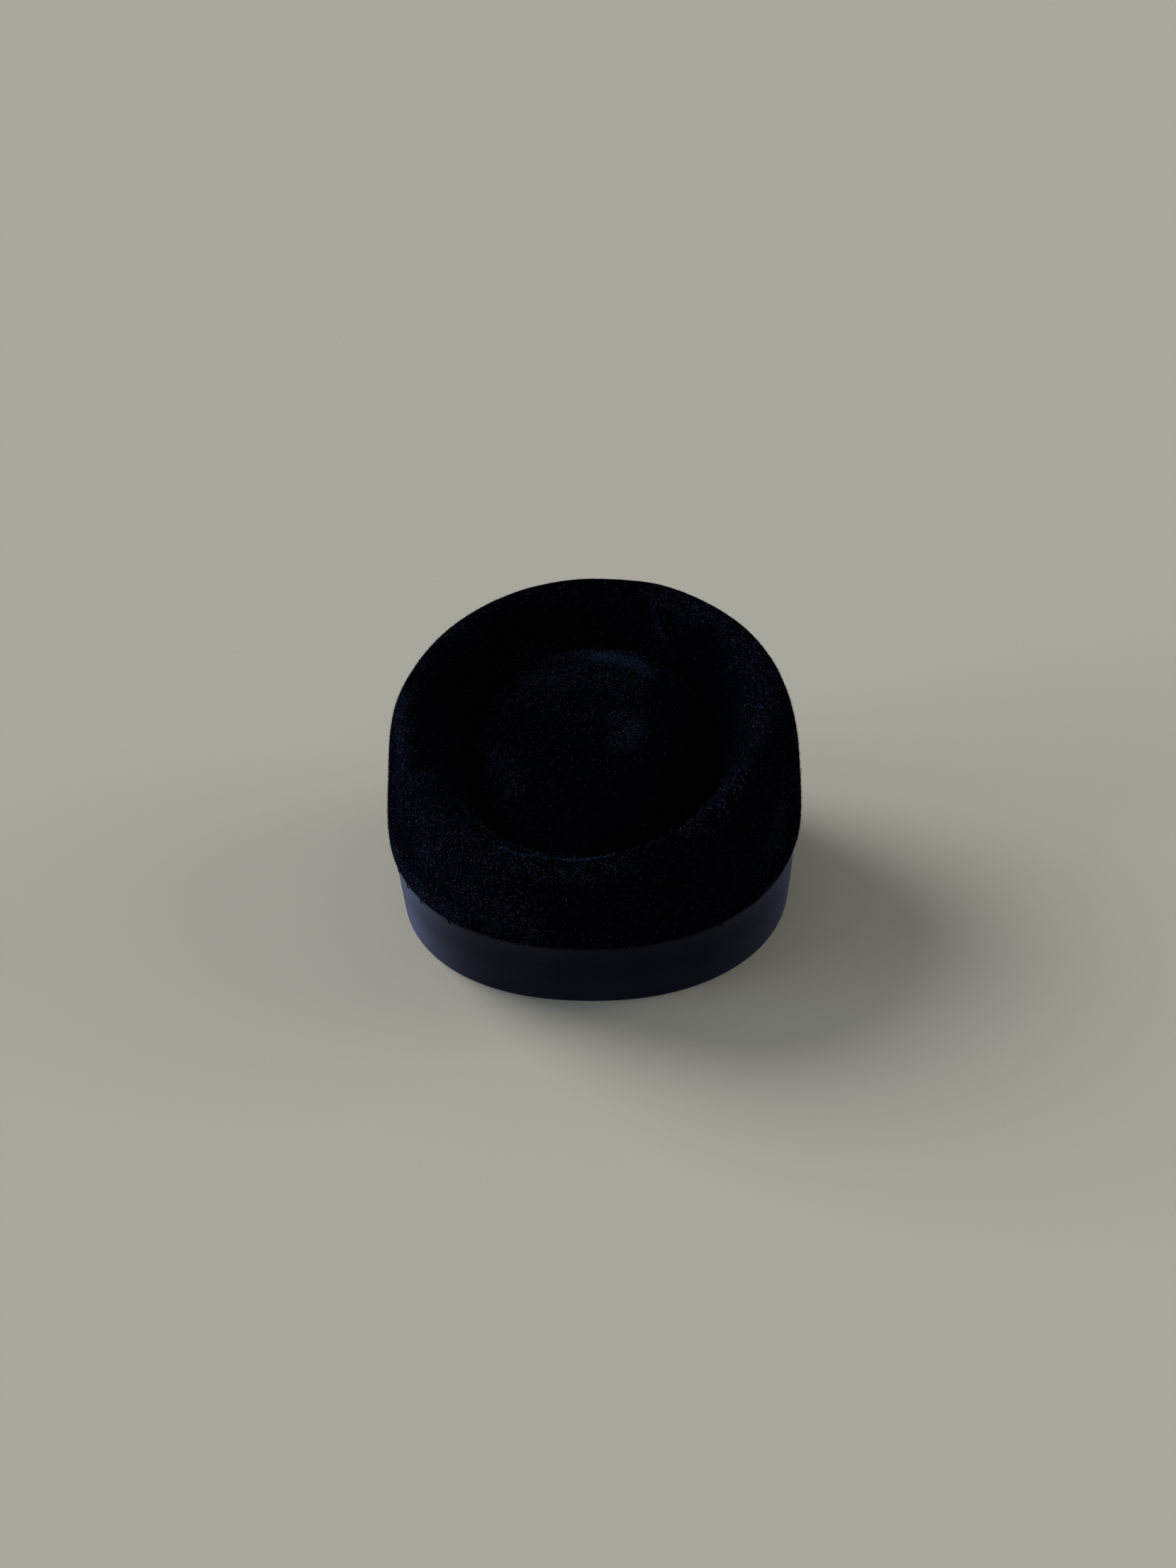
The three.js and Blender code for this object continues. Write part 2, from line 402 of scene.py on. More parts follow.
felt_points = read(felt.data)
felt_normals = read(felt.data, "normal")
outer = np.array([is_outer(p, n) for p, n in zip(felt_points, felt_normals)], float)
print("felt: the outer face has", int(outer.sum()), "of", len(outer), "corners")

# %% [markdown]
# Felt that is blocked by hand is never quite even. Broad waves of a few tenths of a millimetre run through
# it, where steam and fingers have worked. They are added along the normals, from two sizes of noise. The
# inner face moves with the outer one, so that the felt keeps its thickness, and the rim stays flat.

# %% Hand-blocked waves
WAVE_SIZES = ((38 * MM, 0.55 * MM), (13 * MM, 0.16 * MM))
RIM_KEEPS = 12 * MM


def waves_at(point):
    """How far the felt stands out at one place."""
    return sum(noise.noise(Vector(point) / size) * height for size, height in WAVE_SIZES)


rim_fade = np.clip(felt_points[:, 2] / RIM_KEEPS, 0, 1)
wave = np.array([waves_at(p) for p in felt_points]) * rim_fade
side = np.where(outer > 0.5, 1.0, -1.0)
felt_points += felt_normals * (wave * side)[:, None]
write(felt.data, felt_points)
print("felt: waves of up to", round(float(np.abs(wave).max() / MM), 2), "mm")

# %% [markdown]
# Velour is brushed. Where a hand has stroked the pile one way it looks lighter, and where the pile leans the
# other way it looks deeper. Those brushed places are part of the hat, so they are kept. Most strokes below,
# though, are painted light and shade: painted highlights on the far rim of the dome, the humps, the crease,
# the ridges and the lip, where light grazes the felt, and painted shade in the well and on the right side of
# the dome, where shade falls. Each is a stroke: a few points of the picture that it passes through, its reach
# over the felt in millimetres and its lift, which is negative for the darker ones.

# %% Stroked places, painted highlights and painted shade
# Lighter strokes on the rims, ridges, humps and lip are painted highlights, and darker ones in the well and on
# the right of the dome are painted shade.
STROKES_AND_PAINTED_LIGHT = (
    dict(name="far edge of the dome", pixels=((850, 926), (885, 931), (918, 944)), reach=8, lift=0.62),
    dict(name="far edge, middle", pixels=((775, 927), (850, 926)), reach=6, lift=0.42),
    dict(name="far edge, left end", pixels=((735, 938), (790, 927)), reach=5, lift=0.25),
    dict(name="right hump", pixels=((878, 1012), (893, 1026), (885, 1046)), reach=6.5, lift=0.36),
    dict(name="left hump", pixels=((692, 1074), (702, 1095), (708, 1112)), reach=11, lift=0.3),
    dict(name="back of the dome", pixels=((760, 960), (820, 955), (880, 966)), reach=11, lift=0.2),
    dict(name="crease", pixels=((919, 850), (927, 882), (946, 918), (962, 936)), reach=1.9, lift=0.42),
    dict(name="back ridge, left", pixels=((640, 896), (690, 864), (740, 844), (800, 830)), reach=4, lift=0.2),
    dict(name="back ridge, right", pixels=((918, 837), (950, 848), (1010, 874), (1052, 905), (1090, 955)),
         reach=6, lift=0.25),
    dict(name="right slope", pixels=((1020, 880), (1058, 930), (1084, 990), (1086, 1030)), reach=9, lift=0.2),
    dict(name="right slope, foot", pixels=((1078, 1052), (1062, 1092)), reach=4, lift=0.14),
    dict(name="right lip", pixels=((1052, 1105), (1020, 1142), (975, 1176)), reach=5, lift=0.26),
    dict(name="left ridge", pixels=((564, 990), (564, 1045), (566, 1088)), reach=5, lift=0.3),
    dict(name="lip", pixels=((700, 1194), (735, 1204), (772, 1209), (817, 1213), (863, 1207)),
         reach=0.9, lift=0.6),
    dict(name="front ridge", pixels=((700, 1215), (745, 1228), (790, 1234), (840, 1232), (880, 1224)),
         reach=4.5, lift=0.28),
    dict(name="front left ridge", pixels=((575, 1120), (610, 1180), (660, 1215), (720, 1232)),
         reach=12, lift=0.2),
    dict(name="left wall, low", pixels=((556, 1205), (596, 1258), (640, 1288)), reach=7, lift=0.36),
    dict(name="front left wall", pixels=((600, 1210), (650, 1250), (735, 1310)), reach=10, lift=0.28),
    dict(name="right wall", pixels=((1103, 1130), (1096, 1180), (1074, 1215)), reach=6, lift=0.22),
    dict(name="right side of the dome",
         pixels=((975, 948), (990, 1000), (985, 1060), (945, 1110), (860, 1160)), reach=15, lift=-1.0),
    dict(name="foot of the right slope", pixels=((1008, 975), (1028, 1030), (1020, 1085)),
         reach=8, lift=-1.0),
    dict(name="middle of the dome", pixels=((760, 1040), (800, 1060)), reach=12, lift=-0.25),
    dict(name="left edge of the dome", pixels=((682, 1010), (668, 1030), (662, 1075), (690, 1130)),
         reach=4, lift=-0.8),
    dict(name="far left end of the dome", pixels=((704, 974), (711, 996)), reach=3.5, lift=0.22),
    dict(name="left wall of the well", pixels=((606, 975), (603, 1040), (634, 1100)), reach=5.5, lift=-0.95),
    dict(name="left side of the well", pixels=((640, 965), (636, 1050), (650, 1105)), reach=10, lift=-0.95),
    dict(name="back of the ridge, left", pixels=((650, 960), (700, 900)), reach=9, lift=-0.7),
    dict(name="back of the well", pixels=((730, 880), (850, 870)), reach=9, lift=-0.5),
    dict(name="right shoulder", pixels=((1110, 1045), (1088, 1105), (1045, 1165)), reach=6.5, lift=-0.5),
)
print("felt:", sum(stroke["lift"] > 0 for stroke in STROKES_AND_PAINTED_LIGHT), "lighter strokes of", len(STROKES_AND_PAINTED_LIGHT))

# %% [markdown]
# A ray from the camera finds the places of a stroke on the felt, and everything after that is worked out on
# the felt itself: a point is lifted by how near it lies to a stroke, and a negative lift paints shade. The
# wall at the back, which the picture does not show, is brushed in broad uneven patches. The result, brushing
# and painted light and shade together, is stored with the mesh, for the finish and for the hairs.

# %% How far each place is lifted
SHARPNESS = 3.0
BACK_BRUSHED = dict(starts=20 * MM, full=50 * MM, size=24 * MM, lift=0.55)


def felt_at(pixel):
    """The point of the felt that shows at a point of the picture."""
    return picture_point(coarse_felt, pixel)


def nearest(points, start, end):
    """How far points lie from the straight line between two places."""
    way = end - start
    along = np.clip((points - start) @ way / (way @ way), 0, 1)
    return np.linalg.norm(points - start - along[:, None] * way, axis=1)


def painted_light_and_strokes(points):
    """How much lighter each point of the felt is for the strokes, as painted light and shade and as brushing,
    from -1 to 1.
    """
    lighter, darker = np.zeros(len(points)), np.zeros(len(points))
    for stroke in STROKES_AND_PAINTED_LIGHT:
        passes = [np.array(felt_at(pixel)) for pixel in stroke["pixels"]]
        near = np.min([nearest(points, *pair) for pair in zip(passes, passes[1:])], axis=0)
        fall = stroke["lift"] * np.exp(-((near / (stroke["reach"] * MM)) ** SHARPNESS))
        lighter, darker = np.maximum(lighter, fall), np.minimum(darker, fall)
    return lighter + darker


def back_lift(points, normals):
    """Broad uneven brushing on the back of the wall, from 0 to 1."""
    faces_out = np.clip(np.sum(normals * outwards(points), axis=1), 0, 1)
    start, full = BACK_BRUSHED["starts"], BACK_BRUSHED["full"]
    at_back = np.clip((points[:, 1] - start) / (full - start), 0, 1)
    patches = np.array([noise.noise(Vector(point) / BACK_BRUSHED["size"]) for point in points])
    return BACK_BRUSHED["lift"] * np.clip(patches, 0, 1) * faces_out * at_back


# The lift holds the painted highlights and painted shade of the strokes as well as the brushing.
lift = (painted_light_and_strokes(felt_points) + back_lift(felt_points, felt_normals)) * outer
write_attribute(felt.data, "outer", outer)
write_attribute(felt.data, "lift", lift)
print("felt: stroked over", round(100 * float((np.abs(lift) > 0.2).mean())), "% of it")

# %% [markdown]
# Seen close, velour is a mat of fine hairs a millimetre or two long. The mat is a blue-black that hardly
# reflects, and the ends of the hairs that catch the light stand out from it as fine flecks, some bluer and
# some more violet. The flecks are painted glints. Each fleck is a cell of Voronoi noise with its own chance
# of being bright, and a high power makes bright ones rare. Strands and clouds of softer noise break them up.
# The more a place is lifted, the brighter, bluer and smoother it is, and where the lift is negative the colour
# is darker: this paints the highlights and shade of the strokes, with the brushing, into the colour. A trace
# of sheen makes the felt paler where one looks along it. A Mix node has sockets of the same names for each
# kind of data, so the ones for colours are given by number.

# %% The felt's finish
FELT_DEEP = (0.0003, 0.0003, 0.0011)
FLECK_BLUE = (0.036, 0.066, 0.112)
FLECK_VIOLET = (0.072, 0.062, 0.108)
FLECKS_PER_METRE = 1500
FLECK_RARITY = 8.0
FLECK_BRIGHTNESS = 1.1
# The second share of the pile follows the lift, so it is brushing and painted highlight together; the third,
# which grows only on the most lifted places, is a painted highlight.
PILE = dict(plain=0.04, lit_and_stroked=0.12, painted_highlight=0.4, keeps_to_strongest=3.0)
STRANDS_PER_METRE = 800
STRAND_SHADES = ((0.45, 0.35), (0.62, 1.0))
CLOUDS_PER_METRE = 70
CLOUD_SHADES = ((0.36, 0.45), (0.64, 1.0))
# Away from lifted places the colour is dimmed, and lifted places are bluer and smoother: painted light as well
# as brushing.
UNSTROKED_AND_UNLIT = 0.13
LIT_AND_STROKED_BLUER = 2.2
LIT_AND_STROKED_SMOOTHER = 0.7
PILE_RELIEF = {"Strength": 0.7, "Distance": 0.35 * MM}
FELT_UNIFORM = {
    "Roughness": 0.95,
    "Specular IOR Level": 0.0,
    "Sheen Weight": 0.008,
    "Sheen Roughness": 0.35,
    "Sheen Tint": (0.5, 0.62, 1.0, 1),
}
MIX = dict(factor=0, low=6, high=7, result=2)


def mixed(graph, factor, low, high):
    """A colour between two colours."""
    low, high = (c if isinstance(c, Value) else (*c, 1) for c in (low, high))
    return graph.node("ShaderNodeMix", {"data_type": "RGBA"}, {
        MIX["factor"]: factor, MIX["low"]: low, MIX["high"]: high}, out=MIX["result"])


def felt_finish():
    """Blue-black velour with flecks, strands, clouds, stroked places, painted highlights and painted shade."""
    material, graph, surface = finish("velour felt", FELT_UNIFORM)
    place = graph.node("ShaderNodeTexCoord", out="Object")
    strands = graph.node("ShaderNodeTexNoise", {}, {
        "Vector": place, "Scale": STRANDS_PER_METRE, "Detail": 3.0, "Roughness": 0.6, "Distortion": 1.6})
    clouds = graph.node("ShaderNodeTexNoise", {}, {
        "Vector": place, "Scale": CLOUDS_PER_METRE, "Detail": 2.0, "Roughness": 0.5})
    cells = graph.node("ShaderNodeTexVoronoi", {"feature": "F1"}, {
        "Vector": place, "Scale": FLECKS_PER_METRE}, out="Color")
    chance = graph.node("ShaderNodeSeparateColor", {}, {"Color": cells}, out="Red")
    hue = graph.node("ShaderNodeSeparateColor", {}, {"Color": cells}, out="Green")
    strand = graph.node("ShaderNodeValToRGB", {"stops": STRAND_SHADES}, {"Fac": strands})
    cloud = graph.node("ShaderNodeValToRGB", {"stops": CLOUD_SHADES}, {"Fac": clouds})
    painted_light_and_nap_here = graph.node("ShaderNodeAttribute", {"attribute_name": "lift"}, out="Fac")
    lighter = graph.node("ShaderNodeClamp", {}, {"Value": painted_light_and_nap_here})
    darker = graph.node("ShaderNodeClamp", {}, {"Value": painted_light_and_nap_here * -1.0})
    # The colour is dimmed where the lift is low and darker still where it is negative: painted highlights and
    # painted shade.
    amount = (UNSTROKED_AND_UNLIT + (1 - UNSTROKED_AND_UNLIT) * lighter) * (1 - darker)
    uneven = strand * cloud
    even = uneven + (1 - uneven) * lighter * LIT_AND_STROKED_SMOOTHER
    painted_glow = PILE["painted_highlight"] * lighter ** PILE["keeps_to_strongest"]
    pile = PILE["plain"] + PILE["lit_and_stroked"] * lighter + painted_glow
    flecks = FLECK_BRIGHTNESS * (1 - lighter) * chance ** FLECK_RARITY
    bright = (pile + flecks) * even * amount
    fleck = mixed(graph, hue * (1 - lighter * LIT_AND_STROKED_BLUER), FLECK_BLUE, FLECK_VIOLET)
    colour = mixed(graph, bright, FELT_DEEP, fleck)
    relief = graph.node("ShaderNodeBump", {}, {**PILE_RELIEF, "Height": strands})
    graph.tree.links.new(colour.socket, surface.inputs["Base Color"])
    graph.tree.links.new(relief.socket, surface.inputs["Normal"])
    return material


felt.data.materials.clear()
felt.data.materials.append(felt_finish())
print("felt:", sum(len(face.vertices) - 2 for face in felt.data.polygons), "triangles")

# %% [markdown]
# Hairs and stitches are both small shapes that are set on many points, so their trees of Geometry Nodes share
# a few helpers. One makes an empty tree with named inputs. One sets the shape on the points, makes every copy
# real and paints it, because only a real mesh is exported. A Random Value node has sockets of the same names
# for each kind of data, so the ones for plain numbers are given by number.

# %% Helpers for trees
SOCKETS = {
    "mesh": "NodeSocketGeometry", "number": "NodeSocketFloat", "count": "NodeSocketInt",
    "material": "NodeSocketMaterial",
}
RANDOM_NUMBER = dict(low=2, high=3, result=1)


def new_tree(name, inputs, result):
    """An empty tree of Geometry Nodes with inputs of the given kinds, and a mesh as its result."""
    tree = bpy.data.node_groups.new(name, "GeometryNodeTree")
    for kind, labels in inputs.items():
        for label in labels:
            tree.interface.new_socket(name=label, in_out="INPUT", socket_type=SOCKETS[kind])
    tree.interface.new_socket(name=result, in_out="OUTPUT", socket_type=SOCKETS["mesh"])
    return tree


def stored(graph, name, kind="FLOAT"):
    """A number or a direction that is stored with each corner."""
    return graph.node("GeometryNodeInputNamedAttribute", {"data_type": kind}, {"Name": name})


def drawn(graph, low, high, seed):
    """A random number for each point."""
    sockets = {RANDOM_NUMBER["low"]: low, RANDOM_NUMBER["high"]: high, "Seed": seed}
    return graph.node("FunctionNodeRandomValue", {"data_type": "FLOAT"}, sockets, out=RANDOM_NUMBER["result"])


def turned_by(graph, rotation, angle):
    """A rotation that first turns by an angle round its own Z axis."""
    spin = graph.node("FunctionNodeAxisAngleToRotation", {}, {"Axis": (0, 0, 1), "Angle": angle})
    return graph.node("FunctionNodeRotateRotation", {"rotation_space": "LOCAL"}, {
        "Rotation": rotation, "Rotate By": spin})


def finish_tree(graph, result, points, instance, material, turns):
    """Puts an instance on every point, and makes them real and painted as the tree's result."""
    placed = graph.node("GeometryNodeInstanceOnPoints", {}, {"Points": points, "Instance": instance, **turns})
    real = graph.node("GeometryNodeRealizeInstances", {}, {"Geometry": placed})
    painted = graph.node("GeometryNodeSetMaterial", {}, {"Geometry": real, "Material": material})
    graph.node("NodeGroupOutput", {}, {result: painted})


print("trees: an input is a", ", a ".join(SOCKETS))

# %% [markdown]
# The hairs that stand up from the pile are real geometry, because they soften the hat's outline. The tree
# scatters points over the felt, more of them where it is lifted and fewer where the lift is negative, so that
# the pale hairs also carry the painted highlights and painted shade, and puts a hair on each: a thin cone of
# three sides, which can be bent. A hair's direction is the felt's normal, pushed over by a random vector, so
# that no two lie alike. The tree has named inputs, so the same tree makes the short pile, the longer curled
# hairs and the few pale specks of lint.

# %% The tree that plants hairs
HAIR_SIDES = 3
ROOTED_SHARE = 0.06


def hair_tree():
    """A tree of Geometry Nodes that covers a mesh with hairs."""
    tree = new_tree("plant hairs", {
        "mesh": ["Felt"],
        "number": ["Hairs per square metre", "Lit and stroked share", "Inner share", "Shortest", "Longest", "Width",
                   "Lean", "Bend"],
        "count": ["Seed", "Segments"],
        "material": ["Material"],
    }, "Hairs")
    graph = Graph(tree)
    given = graph.given()
    painted_light_and_nap_here, outer_here, hairy_here = (stored(graph, name) for name in ("lift", "outer", "hairy"))
    # More hairs where the lift is high and fewer where it is negative: the hairs carry painted highlights and
    # painted shade.
    share = (1 - given["Lit and stroked share"]) + given["Lit and stroked share"] * painted_light_and_nap_here.maths("MAXIMUM", painted_light_and_nap_here, 0.0)
    share = share * (1 + painted_light_and_nap_here.maths("MINIMUM", painted_light_and_nap_here, 0.0))
    share = share * (given["Inner share"] + (1 - given["Inner share"]) * outer_here) * hairy_here
    points = graph.node("GeometryNodeDistributePointsOnFaces", {}, {
        "Mesh": given["Felt"], "Density": given["Hairs per square metre"] * share, "Seed": given["Seed"]})
    push = graph.node("FunctionNodeRandomValue", {"data_type": "FLOAT_VECTOR"}, {
        0: (-1, -1, -1), 1: (1, 1, 1), "Seed": given["Seed"]})
    pushed = graph.node("ShaderNodeVectorMath", {"operation": "SCALE"}, {0: push, "Scale": given["Lean"]})
    way = graph.node("ShaderNodeVectorMath", {"operation": "ADD"}, {0: points.output("Normal"), 1: pushed})
    upright = graph.node("FunctionNodeAlignRotationToVector", {"axis": "Z"}, {"Vector": way})
    turned = turned_by(graph, upright, drawn(graph, 0.0, 2 * math.pi, given["Seed"] + 1))
    length = drawn(graph, given["Shortest"], given["Longest"], given["Seed"] + 2)
    cone = graph.node("GeometryNodeMeshCone", {"fill_type": "NGON"}, {
        "Vertices": HAIR_SIDES, "Side Segments": given["Segments"], "Radius Top": 0.0,
        "Radius Bottom": given["Width"] * 0.5, "Depth": 1.0})
    place = graph.node("GeometryNodeInputPosition")
    height = graph.node("ShaderNodeSeparateXYZ", {}, {"Vector": place}, out="Z")
    bow = graph.node("ShaderNodeCombineXYZ", {}, {"X": given["Bend"] * height * height, "Z": -ROOTED_SHARE})
    bent = graph.node("GeometryNodeSetPosition", {}, {"Geometry": cone, "Offset": bow})
    size = graph.node("ShaderNodeCombineXYZ", {}, {"X": 1.0, "Y": 1.0, "Z": length})
    finish_tree(graph, "Hairs", points, bent, given["Material"], {"Rotation": turned, "Scale": size})
    return tree


HAIR_TREE = hair_tree()
print("hair tree:", len(HAIR_TREE.nodes), "nodes")

# %% [markdown]
# Hairs are planted in a few sorts. The short ones make the pile and come in two shades, so that the pile
# looks deep. The lit and stroked ones are paler and grow only where the felt is lifted, so they are brushing
# and painted highlight together. The curled ones are longer and have more segments. Lint is what every dark
# hat picks up. A hair has as few faces as its form needs, because there are so many. None grow behind the
# leather or near the rim, and few on the face inside the hat.

# %% Nap, curled hairs and lint
BAND_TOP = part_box("band")[1].z
NAP_STARTS = BAND_TOP + 0.2 * MM
RIM_BARE = 3 * MM
HAIR_ROUGHNESS = 0.9
HAIRS = (
    dict(name="nap_deep", colour=(0.0005, 0.0005, 0.0018), count=400000, lit_and_stroked=0.0, inner=0.05,
         shortest=0.6, longest=1.3, width=0.15, lean=1.3, bend=0.0, segments=1),
    dict(name="nap_pale", colour=(0.062, 0.063, 0.106), count=120000, lit_and_stroked=0.4, inner=0.05,
         shortest=0.5, longest=1.0, width=0.18, lean=1.5, bend=0.0, segments=1),
    # These pale hairs grow only where the felt is lifted, so they are painted highlight as well as brushing.
    dict(name="nap_lit_and_stroked", colour=(0.056, 0.088, 0.142), count=560000, lit_and_stroked=1.0, inner=0.0,
         shortest=0.4, longest=0.8, width=0.19, lean=1.7, bend=0.0, segments=1),
    dict(name="nap_curled", colour=(0.062, 0.074, 0.115), count=45000, lit_and_stroked=0.4, inner=0.05,
         shortest=0.8, longest=1.7, width=0.15, lean=2.2, bend=0.8, segments=3),
    dict(name="lint", colour=(0.10, 0.10, 0.095), count=900, lit_and_stroked=0.0, inner=0.0,
         shortest=0.5, longest=1.5, width=0.09, lean=3.0, bend=0.7, segments=3),
)


def run_tree(name, mesh, tree, given):
    """Runs a tree on a mesh, with its inputs given by name, and returns the result as a new piece."""
    carrier = bpy.data.objects.new(name, mesh)
    bpy.context.scene.collection.objects.link(carrier)
    modifier = carrier.modifiers.new(name, "NODES")
    modifier.node_group = tree
    identifiers = {item.name: item.identifier for item in tree.interface.items_tree if item.in_out == "INPUT"}
    for label, value in given.items():
        modifier[identifiers[label]] = value
    finished_mesh(carrier)
    return carrier


def plant(seed, name, colour, count, lit_and_stroked, inner, shortest, longest, width, lean, bend, segments):
    """One sort of hair over the whole felt. Lengths come in millimetres."""
    material = plain_material(name.replace("_", " "), (*colour, 1), HAIR_ROUGHNESS)
    given = {
        "Hairs per square metre": float(count), "Lit and stroked share": lit_and_stroked, "Inner share": inner,
        "Shortest": shortest * MM, "Longest": longest * MM, "Width": width * MM,
        "Lean": lean, "Bend": bend * MM, "Seed": seed, "Segments": segments, "Material": material,
    }
    hairs = run_tree(name, felt.data, HAIR_TREE, given)
    triangles = sum(len(face.vertices) - 2 for face in hairs.data.polygons)
    print(name, ":", triangles, "triangles")
    return hairs


hairy = felt_points[:, 2] > np.where(outer > 0.5, NAP_STARTS, RIM_BARE)
write_attribute(felt.data, "hairy", hairy)
sorts = [plant(seed + 1, **sort) for seed, sort in enumerate(HAIRS)]

# %% [markdown]
# The leather strip is a ring of rectangular section, a little over a millimetre thick. A knife cuts its
# edges, and handling rounds them, so the four long edges get a narrow bevel before the surface is divided.
# Its upper edge was cut and eased into place by hand: it rises and falls by a few tenths of a millimetre, and
# has one small step at the right. The strip bows in and out very slightly, which is what makes the
# reflections on it look like leather and not like plastic. The lower edge stays on the floor.

# %% The leather strip's shape
EDGE_ANGLE = math.radians(50)
EDGE_ROUNDING = 0.4 * MM
EDGE_WAVE = dict(size=16 * MM, height=0.45 * MM, radius=85 * MM, keeps_to_top=3)
STRIP_BOW = dict(size=28 * MM, height=0.22 * MM, grows_over=0.25)
STEP = dict(pixel=(1066, 1276), width=2.5 * MM, height=0.45 * MM)


def strip_shape():
    """The strip with rounded cut edges."""
    shape = merged_copy("band")
    shared = [edge for edge in shape.edges if len(edge.link_faces) == 2]
    sharp = [edge for edge in shared if edge.calc_face_angle() > EDGE_ANGLE]
    bmesh.ops.bevel(shape, geom=sharp, offset=EDGE_ROUNDING, segments=2, profile=0.5, affect="EDGES")
    return shape


leather_shape = strip_shape()
coarse_strip = BVHTree.FromBMesh(leather_shape)
strip = as_piece("leather_band", leather_shape)
subdivide(strip, DIVISIONS)
strip_points = read(strip.data)
up_share = np.clip(strip_points[:, 2] / BAND_TOP, 0, 1)
around = outwards(strip_points) * EDGE_WAVE["radius"]
edge_wave = np.array([noise.noise(Vector(p) / EDGE_WAVE["size"]) for p in around]) * EDGE_WAVE["height"]
bow = np.array([noise.noise(Vector(p) / STRIP_BOW["size"]) for p in strip_points]) * STRIP_BOW["height"]
step_at = np.array(picture_point(coarse_strip, STEP["pixel"]))
step_near = np.linalg.norm((strip_points - step_at)[:, :2], axis=1) / STEP["width"]
edge_wave -= STEP["height"] * np.exp(-(step_near ** 2))
strip_points[:, 2] += edge_wave * up_share ** EDGE_WAVE["keeps_to_top"]
strip_points += outwards(strip_points) * (bow * np.clip(up_share / STRIP_BOW["grows_over"], 0, 1))[:, None]
write(strip.data, strip_points)
print("strip:", sum(len(face.vertices) - 2 for face in strip.data.polygons), "triangles")

# %% [markdown]
# The leather is smooth and close-grained, dyed almost black with a blue cast, with a satin surface. Its grain
# is a fine net of cells, which is Voronoi noise at less than a millimetre. A few open pores show as dark
# dots. The surface is a little more polished in some places than in others, so roughness drifts. Along the
# floor the strip is darker, over its lowest millimetre. A cool sheen makes the leather paler where one looks
# along it.

# %% The leather's finish
LEATHER_DYE = (0.0006, 0.0008, 0.0022)
LEATHER_WORN = (0.0032, 0.0038, 0.0080)
LEATHER_EDGE = (0.003, 0.003, 0.0035)
GRAIN_PER_METRE = 1500
FINE_GRAIN_PER_METRE = 2600
DRIFT_PER_METRE = 45
WORN_SHADES = ((0.42, 0.0), (0.75, 1.0))
PORES_PER_METRE = 95
PORE_SHADES = ((0.02, 1.0), (0.04, 0.0))
# The strip is darker along the floor, over its lowest millimetre.
DARKER_NEAR_FLOOR = (0.2 * MM, 0.9 * MM)
DYE_SHARES = dict(worn=0.55, fine=0.25)
RELIEF_SHARES = dict(fine=0.6, pores=0.8)
GRAIN_RELIEF = {"Strength": 0.35, "Distance": 0.06 * MM}
SATIN = dict(plain=0.5, drift=0.16, worn=0.05)
LEATHER_UNIFORM = {
    "Specular IOR Level": 0.05,
    "Specular Tint": (0.7, 0.8, 1.0, 1),
    "Sheen Weight": 0.38,
    "Sheen Roughness": 0.31,
    "Sheen Tint": (0.48, 0.57, 1.0, 1),
}


def leather_finish():
    """Blue-black satin leather with grain, pores and a darker lower edge."""
    material, graph, surface = finish("smooth leather", LEATHER_UNIFORM)
    place = graph.node("ShaderNodeTexCoord", out="Object")
    grain = graph.node("ShaderNodeTexVoronoi", {"feature": "SMOOTH_F1"}, {
        "Vector": place, "Scale": GRAIN_PER_METRE})
    fine = graph.node("ShaderNodeTexNoise", {}, {
        "Vector": place, "Scale": FINE_GRAIN_PER_METRE, "Detail": 3.0, "Roughness": 0.6})
    drift = graph.node("ShaderNodeTexNoise", {}, {
        "Vector": place, "Scale": DRIFT_PER_METRE, "Detail": 3.0, "Roughness": 0.55})
    pore = graph.node("ShaderNodeTexVoronoi", {"feature": "F1"}, {"Vector": place, "Scale": PORES_PER_METRE})
    pored = graph.node("ShaderNodeValToRGB", {"stops": PORE_SHADES}, {"Fac": pore})
    height = graph.node("ShaderNodeSeparateXYZ", {}, {"Vector": place}, out="Z")
    near_floor = graph.node("ShaderNodeMapRange", {}, {
        "Value": height, "From Min": DARKER_NEAR_FLOOR[0], "From Max": DARKER_NEAR_FLOOR[1], "To Min": 1.0, "To Max": 0.0})
    worn = graph.node("ShaderNodeValToRGB", {"stops": WORN_SHADES}, {"Fac": drift})
    paler = worn * DYE_SHARES["worn"] + fine * DYE_SHARES["fine"]
    dyed = mixed(graph, paler, LEATHER_DYE, LEATHER_WORN)
    colour = mixed(graph, near_floor, mixed(graph, pored, dyed, LEATHER_EDGE), LEATHER_EDGE)
    raised = grain + fine * RELIEF_SHARES["fine"] - pored * RELIEF_SHARES["pores"]
    relief = graph.node("ShaderNodeBump", {}, {**GRAIN_RELIEF, "Height": raised})
    roughness = SATIN["plain"] + drift * SATIN["drift"] - worn * SATIN["worn"]
    graph.tree.links.new(colour.socket, surface.inputs["Base Color"])
    graph.tree.links.new(roughness.socket, surface.inputs["Roughness"])
    graph.tree.links.new(relief.socket, surface.inputs["Normal"])
    return material


strip.data.materials.clear()
strip.data.materials.append(leather_finish())
print("strip: finished with", len(strip.data.materials), "material")

# %% [markdown]
# A few tack stitches of black thread hold the strip to the felt. Most hide in the crease under the felt, and
# a few show as short dark loops over the strip's upper edge. The tree puts the same short loop at each place.
# The places are points of a small mesh, and each carries the level direction out of the hat, to which the
# loop is turned.

